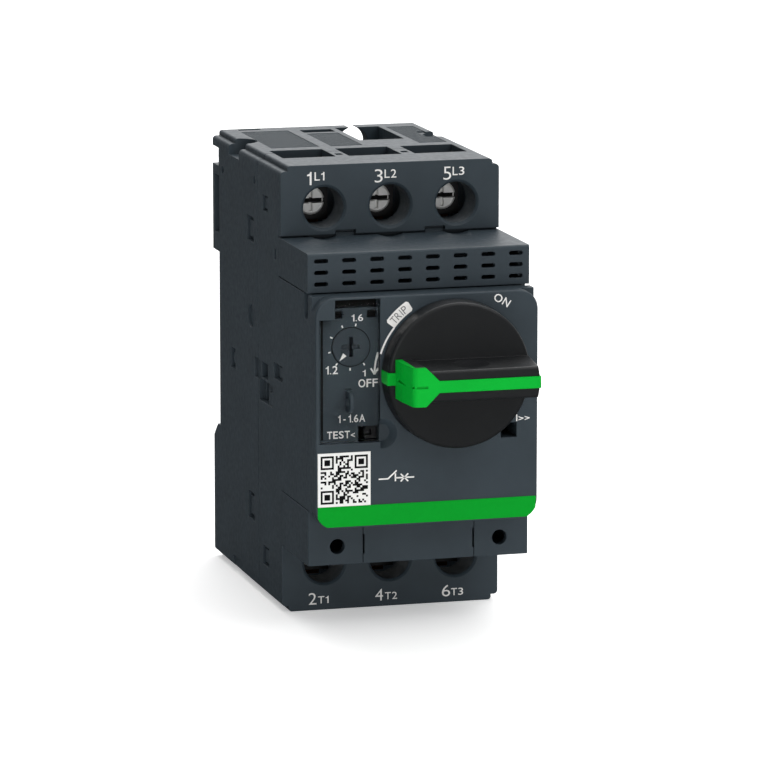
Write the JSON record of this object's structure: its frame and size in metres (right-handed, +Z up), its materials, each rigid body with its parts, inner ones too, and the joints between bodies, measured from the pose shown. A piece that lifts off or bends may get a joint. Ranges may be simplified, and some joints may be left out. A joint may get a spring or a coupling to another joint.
{
  "type": "motor protection breaker",
  "caption": "Rail-mounted motor protection breaker with a rotary handle, a setting dial under a clear hinged cover, and screw terminals at both ends.",
  "frame": {"origin": "centre line of the mounting rail, on the rear plane and in the middle of the width", "axes": "+X to the right seen from the front, -Y out of the front, +Z up"},
  "size_m": [0.0446, 0.097, 0.089],
  "materials": {
    "housing_plastic": "fine matt moulded thermoplastic, slate grey",
    "knob_plastic": "satin moulded black",
    "green_plastic": "semi-gloss moulded green",
    "clear_plastic": "clear polycarbonate, polished",
    "green_film": "satin printed film",
    "label_film": "white printed film",
    "dial_plastic": "fine matt moulded thermoplastic",
    "mechanism_plastic": "natural grey acetal",
    "carrier_plastic": "black thermoset",
    "bobbin_plastic": "natural nylon",
    "clip_plastic": "black glass-filled nylon",
    "fibre_board": "vulcanised fibre sheet",
    "zinc_steel": "zinc plated, satin",
    "dark_steel": "black passivated sheet",
    "plated_steel": "zinc plated sheet",
    "spring_steel": "drawn wire",
    "copper": "tinned edges, bare copper",
    "winding_copper": "enamelled copper wire",
    "silver": "silver alloy contact",
    "bimetal": "rolled bimetal strip"
  },
  "bodies": {
    "housing": {"rear_housing": "housing_plastic", "front_housing": "housing_plastic", "vent_cover": "housing_plastic", "lower_fascia": "housing_plastic", "accessory_cover": "housing_plastic", "front_plate": "housing_plastic", "colour_band": "green_film", "code_label": "label_film", "bearing_plate": "plated_steel", "mechanism_frame": "plated_steel", "frame_pins": "plated_steel", "line_terminals": "copper", "load_terminals": "copper", "fixed_contacts": "copper", "fixed_tips": "silver", "arc_plates": "plated_steel", "arc_cheeks": "fibre_board", "inner_partition": "carrier_plastic", "coil_bobbins": "bobbin_plastic", "coil_windings": "winding_copper", "magnet_yokes": "plated_steel", "bimetals": "bimetal", "heater_windings": "winding_copper", "rail_spring": "spring_steel", "housing_screws": "zinc_steel"},
    "handle": {"knob": "knob_plastic", "pointer": "green_plastic", "drive_shaft": "plated_steel", "shaft_clip": "spring_steel", "drive_pinion": "mechanism_plastic"},
    "rack": {"drive_rack": "mechanism_plastic"},
    "carrier": {"contact_carrier": "carrier_plastic", "moving_contacts": "copper", "moving_tips": "silver", "contact_springs": "spring_steel"},
    "trip_bar": {"trip_bar": "carrier_plastic"},
    "latch": {"latch_lever": "plated_steel"},
    "test_button": {"test_slider": "clip_plastic"},
    "dial": {"setting_dial": "dial_plastic", "setting_cam": "mechanism_plastic"},
    "cover": {"clear_cover": "clear_plastic"},
    "rail_clip": {"rail_clip": "clip_plastic"},
    "plunger_1": {"plunger_1": "plated_steel"},
    "plunger_2": {"plunger_2": "plated_steel"},
    "plunger_3": {"plunger_3": "plated_steel"},
    "saddle_1_line": {"saddle_1_line": "dark_steel"},
    "screw_1_line": {"terminal_screw_1_line": "zinc_steel"},
    "saddle_3_line": {"saddle_3_line": "dark_steel"},
    "screw_3_line": {"terminal_screw_3_line": "zinc_steel"},
    "saddle_5_line": {"saddle_5_line": "dark_steel"},
    "screw_5_line": {"terminal_screw_5_line": "zinc_steel"},
    "saddle_2_load": {"saddle_2_load": "dark_steel"},
    "screw_2_load": {"terminal_screw_2_load": "zinc_steel"},
    "saddle_4_load": {"saddle_4_load": "dark_steel"},
    "screw_4_load": {"terminal_screw_4_load": "zinc_steel"},
    "saddle_6_load": {"saddle_6_load": "dark_steel"},
    "screw_6_load": {"terminal_screw_6_load": "zinc_steel"}
  },
  "joints": [
    {"name": "handle_turn", "type": "hinge", "parent": "housing", "child": "handle", "pos_m": [0.0051, -0.085, 0.00513], "axis": [0, 1, 0], "range_deg": [0, 90]},
    {"name": "rack_slide", "type": "slide", "parent": "housing", "child": "rack", "axis": [0, 0, -1], "range_m": [0, 0.00754]},
    {"name": "contact_travel", "type": "slide", "parent": "housing", "child": "carrier", "axis": [0, 1, 0], "range_m": [0, 0.003]},
    {"name": "dial_turn", "type": "hinge", "parent": "housing", "child": "dial", "pos_m": [-0.01475, -0.079, 0.0106], "axis": [0, 1, 0], "range_deg": [-78, 152]},
    {"name": "cover_hinge", "type": "hinge", "parent": "housing", "child": "cover", "pos_m": [-0.0139, -0.081, 0.0188], "axis": [-1, 0, 0], "range_deg": [0, 100]},
    {"name": "test_slide", "type": "slide", "parent": "housing", "child": "test_button", "axis": [-1, 0, 0], "range_m": [0, 0.002], "stiffness_N_per_m": 150, "springref_m": -0.002},
    {"name": "trip_bar_turn", "type": "hinge", "parent": "housing", "child": "trip_bar", "pos_m": [0, -0.041, -0.0095], "axis": [1, 0, 0], "range_deg": [0, 8]},
    {"name": "latch_turn", "type": "hinge", "parent": "housing", "child": "latch", "pos_m": [0.0143, -0.052, -0.0025], "axis": [1, 0, 0], "range_deg": [0, 6]},
    {"name": "rail_clip_slide", "type": "slide", "parent": "housing", "child": "rail_clip", "axis": [0, 0, -1], "range_m": [0, 0.004], "stiffness_N_per_m": 400, "springref_m": -0.003, "deforming": ["rail_spring"]},
    {"name": "plunger_1_slide", "type": "slide", "parent": "housing", "child": "plunger_1", "axis": [0, 0, 1], "range_m": [0, 0.0025]},
    {"name": "plunger_2_slide", "type": "slide", "parent": "housing", "child": "plunger_2", "axis": [0, 0, 1], "range_m": [0, 0.0025]},
    {"name": "plunger_3_slide", "type": "slide", "parent": "housing", "child": "plunger_3", "axis": [0, 0, 1], "range_m": [0, 0.0025]},
    {"name": "saddle_1_line_slide", "type": "slide", "parent": "housing", "child": "saddle_1_line", "axis": [0, 1, 0], "range_m": [0, 0.0032]},
    {"name": "screw_1_line_turn", "type": "hinge", "parent": "saddle_1_line", "child": "screw_1_line", "pos_m": [-0.0135, -0.0425, 0.034], "axis": [0, 1, 0], "range_deg": [0, 1645.8]},
    {"name": "saddle_3_line_slide", "type": "slide", "parent": "housing", "child": "saddle_3_line", "axis": [0, 1, 0], "range_m": [0, 0.0032]},
    {"name": "screw_3_line_turn", "type": "hinge", "parent": "saddle_3_line", "child": "screw_3_line", "pos_m": [0, -0.0425, 0.034], "axis": [0, 1, 0], "range_deg": [0, 1645.8]},
    {"name": "saddle_5_line_slide", "type": "slide", "parent": "housing", "child": "saddle_5_line", "axis": [0, 1, 0], "range_m": [0, 0.0032]},
    {"name": "screw_5_line_turn", "type": "hinge", "parent": "saddle_5_line", "child": "screw_5_line", "pos_m": [0.0135, -0.0425, 0.034], "axis": [0, 1, 0], "range_deg": [0, 1645.8]},
    {"name": "saddle_2_load_slide", "type": "slide", "parent": "housing", "child": "saddle_2_load", "axis": [0, 1, 0], "range_m": [0, 0.0032]},
    {"name": "screw_2_load_turn", "type": "hinge", "parent": "saddle_2_load", "child": "screw_2_load", "pos_m": [-0.0135, -0.0425, -0.037], "axis": [0, 1, 0], "range_deg": [0, 1645.8]},
    {"name": "saddle_4_load_slide", "type": "slide", "parent": "housing", "child": "saddle_4_load", "axis": [0, 1, 0], "range_m": [0, 0.0032]},
    {"name": "screw_4_load_turn", "type": "hinge", "parent": "saddle_4_load", "child": "screw_4_load", "pos_m": [0, -0.0425, -0.037], "axis": [0, 1, 0], "range_deg": [0, 1645.8]},
    {"name": "saddle_6_load_slide", "type": "slide", "parent": "housing", "child": "saddle_6_load", "axis": [0, 1, 0], "range_m": [0, 0.0032]},
    {"name": "screw_6_load_turn", "type": "hinge", "parent": "saddle_6_load", "child": "screw_6_load", "pos_m": [0.0135, -0.0425, -0.037], "axis": [0, 1, 0], "range_deg": [0, 1645.8]}
  ],
  "couplings": [
    {"joint": "rack_slide", "follows": "handle_turn", "m_per_rad": 0.0048},
    {"joint": "contact_travel", "follows": "handle_turn", "m_per_rad": 0.0019098},
    {"joint": "trip_bar_turn", "follows": "test_slide", "rad_per_m": 69.8},
    {"joint": "latch_turn", "follows": "test_slide", "rad_per_m": 52.3},
    {"joint": "screw_1_line_turn", "follows": "saddle_1_line_slide", "rad_per_m": 8976},
    {"joint": "screw_3_line_turn", "follows": "saddle_3_line_slide", "rad_per_m": 8976},
    {"joint": "screw_5_line_turn", "follows": "saddle_5_line_slide", "rad_per_m": 8976},
    {"joint": "screw_2_load_turn", "follows": "saddle_2_load_slide", "rad_per_m": 8976},
    {"joint": "screw_4_load_turn", "follows": "saddle_4_load_slide", "rad_per_m": 8976},
    {"joint": "screw_6_load_turn", "follows": "saddle_6_load_slide", "rad_per_m": 8976}
  ]
}
